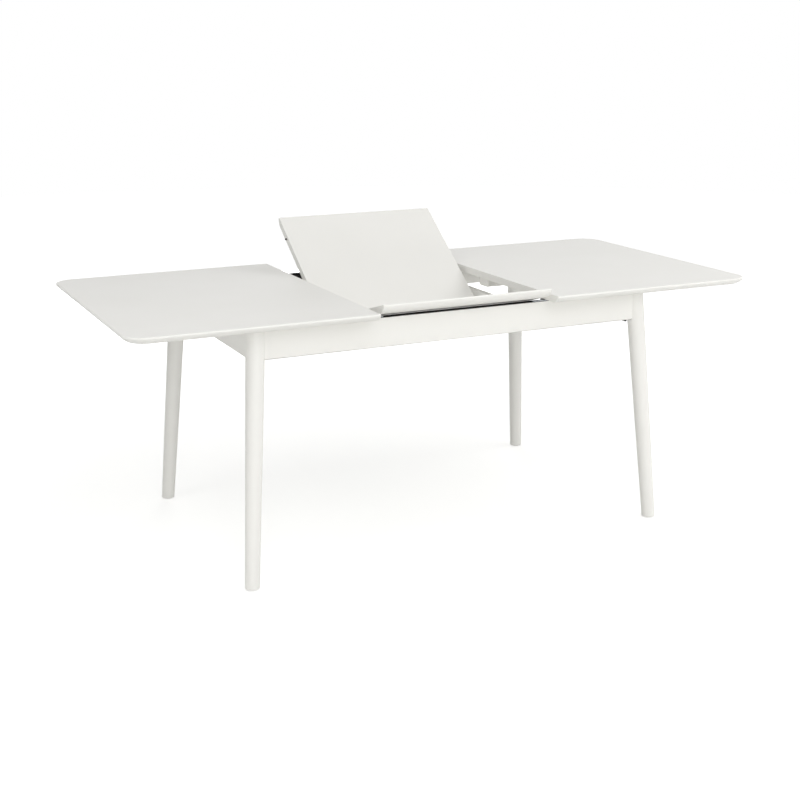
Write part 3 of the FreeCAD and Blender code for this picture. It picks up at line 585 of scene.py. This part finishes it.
tab_places = []
for end, sy in ENDS.items():
    for side, sx in SIDES.items():
        bracket = corners_of(nodes[f"corner_bracket_{end}_{side}"])
        bottom = min(c.z for c in bracket)
        tab = middle_of([c for c in bracket if c.z - bottom < SAME_LEVEL])
        to_leg = Vector((sx, sy, 0)).normalized()
        tab_places.append((tab + to_leg * TAB_SCREW_SHIFT, (0, 0, -1)))
copies("bracket_tab_screws", tab_screw, tab_places, "frame", powder_coat)

# %% [markdown]
# ## Ring clips on the pivot pins
# A spring clip on its inner end keeps each pivot pin in place: a flat ring with a gap, so that it
# can be pushed on. It could be a torus with a piece cut out, but a clip is stamped from sheet and
# has square edges. So four corners, the section of the sheet, are carried round the pin and
# joined, and the two ends are closed.

# %% Ring clips
CLIP_RADIUS, CLIP_THICKNESS, CLIP_GAP = 8.0 * MM, 1.0 * MM, 0.3 * MM
CLIP_SIDES, CLIP_OPENING = 36, math.radians(50)


def ring_clip(inner, outer, thickness):
    """Flat ring on Z 0, open for a part of its turn, as spring clips are."""
    mesh = bmesh.new()
    sweep = 2 * math.pi - CLIP_OPENING
    turns = [CLIP_OPENING / 2 + sweep * i / CLIP_SIDES for i in range(CLIP_SIDES + 1)]
    sections = []
    for turn in turns:
        c, s = math.cos(turn), math.sin(turn)
        sections.append([mesh.verts.new((r * c, r * s, z)) for r, z in
                         ((inner, 0), (outer, 0), (outer, thickness), (inner, thickness))])
    for near, far in zip(sections, sections[1:]):
        join_rings(mesh, near, far)
    mesh.faces.new(sections[0])
    mesh.faces.new(sections[-1])
    bmesh.ops.recalc_face_normals(mesh, faces=mesh.faces)
    return mesh


clip_places = []
for side, sx in SIDES.items():
    low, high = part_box(f"pivot_pin_{side}")
    inner_x = low.x if sx > 0 else high.x
    middle = (low + high) / 2
    pin_radius = (high.z - low.z) / 2
    clip_places.append((Vector((inner_x + sx * CLIP_GAP, middle.y, middle.z)), (sx, 0, 0)))
clip = ring_clip(pin_radius, CLIP_RADIUS, CLIP_THICKNESS)
copies("pivot_pin_clips", clip, clip_places, "frame", zinc)

# %% [markdown]
# ## Threads on the leg bolts
# The leg bolts are threaded rods with a nut. A thread could be painted on with a bump, but its
# outline is jagged against the light, so the end of each rod gets a real ridge: a triangle that
# is carried round the rod and up by one pitch a turn. It is built at the origin along Z, like the
# screws, and stood on the end of each rod, whose middle is found from the corners of its rim.

# %% Bolt threads
THREAD_PITCH, THREAD_RISE, THREAD_TURNS, TURN_STEPS = 1.25 * MM, 0.35 * MM, 5, 20
BOLT_RADIUS, THREAD_END, THREAD_HALF_SHARE = 4.0 * MM, 0.8 * MM, 0.45


def thread_ridge(radius):
    """Ridge wound about Z, its crest standing above the rod and its foot just inside it."""
    mesh = bmesh.new()
    foot, crest = radius - THREAD_RISE / 2, radius + THREAD_RISE
    profile = ((foot, -THREAD_HALF_SHARE), (crest, 0.0), (foot, THREAD_HALF_SHARE))
    sections = []
    for step in range(THREAD_TURNS * TURN_STEPS + 1):
        turn = 2 * math.pi * step / TURN_STEPS
        c, s = math.cos(turn), math.sin(turn)
        z = THREAD_PITCH * step / TURN_STEPS
        sections.append([mesh.verts.new((r * c, r * s, z + share * THREAD_PITCH))
                         for r, share in profile])
    for near, far in zip(sections, sections[1:]):
        join_rings(mesh, near, far)
    mesh.faces.new(sections[0])
    mesh.faces.new(sections[-1])
    bmesh.ops.recalc_face_normals(mesh, faces=mesh.faces)
    return mesh


bolt_corners = corners_of(nodes["leg_bolts"])
thread_places = []
for end, sy in ENDS.items():
    for side, sx in SIDES.items():
        inward = Vector((-sx, -sy, 0)).normalized()
        rod = [corner for corner in bolt_corners if corner.x * sx > 0 and corner.y * sy > 0]
        tip = max(corner.dot(inward) for corner in rod)
        rim = [corner for corner in rod if tip - corner.dot(inward) < SAME_LEVEL]
        centre = sum(rim, Vector()) / len(rim)
        thread_places.append((centre - inward * THREAD_END, -inward))
copies("bolt_threads", thread_ridge(BOLT_RADIUS), thread_places, "frame", zinc)

# %% [markdown]
# ## Soft boxes
# White furniture on a white page is lit from nearly all sides: a soft box to the right of the
# camera, one low and one high in front, one over each end, one low behind and three small ones
# near the floor, which light the undercut edge of the top. Too much light would wash the edges
# out, so the lamps are kept low enough that no face of the lacquer clips, and they are hidden
# from mirror rays, because the lacquer already mirrors the white page. Each lamp is listed with
# its place, what it looks at, its width in metres and its power in watts.

# %% Soft boxes
LAMPS = {
    "key_soft_box": ((2.3, -3.0, 2.1), (0.0, 0.0, 0.6), 2.2, 22.0),
    "low_front_box": ((-1.8, -4.2, 1.0), (0.0, 0.0, 0.6), 2.0, 45.0),
    "high_front_box": ((-0.6, -3.2, 3.0), (0.0, 0.0, 0.7), 2.4, 38.0),
    "right_end_box": ((2.6, -0.6, 3.0), (0.0, 0.0, 0.7), 2.0, 31.0),
    "left_end_box": ((-2.6, -0.6, 3.0), (0.0, 0.0, 0.7), 2.0, 22.0),
    "low_rear_box": ((1.2, 4.2, 1.0), (0.0, 0.0, 0.5), 2.0, 80.0),
    "floor_left_box": ((-3.6, -1.0, 0.35), (-0.5, 0.0, 0.6), 0.6, 12.0),
    "floor_right_box": ((3.4, -2.4, 0.35), (0.3, 0.0, 0.6), 0.6, 13.0),
    "floor_front_box": ((1.8, -3.4, 0.35), (0.2, 0.0, 0.6), 0.6, 10.0),
}
for name, (place, aim, size, power) in LAMPS.items():
    lamp = bpy.data.lights.new(name, "AREA")
    lamp.size = size
    lamp.energy = power
    soft_box = bpy.data.objects.new(name, lamp)
    toward = (Vector(aim) - Vector(place)).to_track_quat("-Z", "Y").to_matrix().to_4x4()
    soft_box.matrix_world = Matrix.Translation(place) @ toward
    soft_box.visible_camera = False
    soft_box.visible_glossy = False
    scene.collection.objects.link(soft_box)
print("lamps", list(LAMPS))

# %% [markdown]
# ## Room and white page
# The ceiling of the room is pale, and the walls stay dark, so the sides of the legs turn grey and
# the legs look round. A white wall behind the table would light it from behind and thin its legs,
# so the page is white in another way: the world answers white to camera, mirror and glass rays
# only, and the room's own light goes to the rays that carry light.

# %% Room and page
WALL_LIGHT, CEILING_LIGHT, CEILING_FROM, CEILING_FULL = 0.01, 0.44, 0.15, 0.7


def seen_directly(tree):
    """One for camera, mirror and glass rays, zero for the rays that carry light."""
    rays = add(tree, "ShaderNodeLightPath").outputs
    seen = rays["Is Camera Ray"]
    for kind in ("Is Glossy Ray", "Is Transmission Ray"):
        seen = add(tree, "ShaderNodeMath", {0: seen, 1: rays[kind]}, operation="MAXIMUM").outputs[0]
    return seen


world = bpy.data.worlds.new("white_studio")
scene.world = world
world.use_nodes = True
tree = world.node_tree
tree.nodes.clear()
way = add(tree, "ShaderNodeSeparateXYZ", {0: add(tree, "ShaderNodeTexCoord").outputs["Generated"]})
rise = {"From Min": CEILING_FROM, "From Max": CEILING_FULL,
        "To Min": WALL_LIGHT, "To Max": CEILING_LIGHT}
room = add(tree, "ShaderNodeMapRange", {"Value": way.outputs["Z"], **rise})
walls = add(tree, "ShaderNodeBackground", {"Color": WHITE, "Strength": room.outputs["Result"]})
page = add(tree, "ShaderNodeBackground", {"Color": WHITE, "Strength": 1.0})
choice = add(tree, "ShaderNodeMixShader", {0: seen_directly(tree), 1: walls.outputs[0],
                                           2: page.outputs[0]})
add(tree, "ShaderNodeOutputWorld", {"Surface": choice.outputs[0]})
print("room", world.name)

# %% [markdown]
# ## Floor
# The floor is a round sheet of light grey paper, which throws little light back up into the
# frame. To the camera it also glows a little: less near the table, so that it still darkens where
# the table keeps light off it, and more further out, where it runs into the white page without a
# line.

# %% Floor
FLOOR_RADIUS, FLOOR_SIDES, FLOOR_DROP = 9.0, 96, 0.3 * MM
FLOOR_SHADE = "#D4D4D2"
GLOW_NEAR, GLOW_FAR, GLOW_FROM, GLOW_FULL = 0.54, 0.84, 1.2, 3.2
floor_mesh = bmesh.new()
bmesh.ops.create_circle(floor_mesh, cap_ends=True, segments=FLOOR_SIDES, radius=FLOOR_RADIUS)
floor_data = bpy.data.meshes.new("pale_floor")
floor_mesh.to_mesh(floor_data)
floor_mesh.free()
floor = bpy.data.objects.new("pale_floor", floor_data)
floor.location.z = -FLOOR_DROP
scene.collection.objects.link(floor)
paper = bpy.data.materials.new("light_grey_paper")
paper.use_nodes = True
tree = paper.node_tree
tree.nodes.clear()
matt = add(tree, "ShaderNodeBsdfDiffuse", {"Color": linear(FLOOR_SHADE)})
spot = add(tree, "ShaderNodeTexCoord").outputs["Object"]
distance = add(tree, "ShaderNodeVectorMath", {0: spot}, operation="LENGTH").outputs["Value"]
rise = {"From Min": GLOW_FROM, "From Max": GLOW_FULL, "To Min": GLOW_NEAR, "To Max": GLOW_FAR}
own = add(tree, "ShaderNodeMapRange", {"Value": distance, **rise}).outputs["Result"]
glow = add(tree, "ShaderNodeMath", {0: seen_directly(tree), 1: own}, operation="MULTIPLY")
light = add(tree, "ShaderNodeEmission", {"Color": WHITE, "Strength": glow.outputs[0]})
sheet = add(tree, "ShaderNodeAddShader", {0: matt.outputs[0], 1: light.outputs[0]})
add(tree, "ShaderNodeOutputMaterial", {"Surface": sheet.outputs[0]})
floor_data.materials.append(paper)
scene.view_settings.view_transform = "Standard"
print("floor", FLOOR_RADIUS, "m")
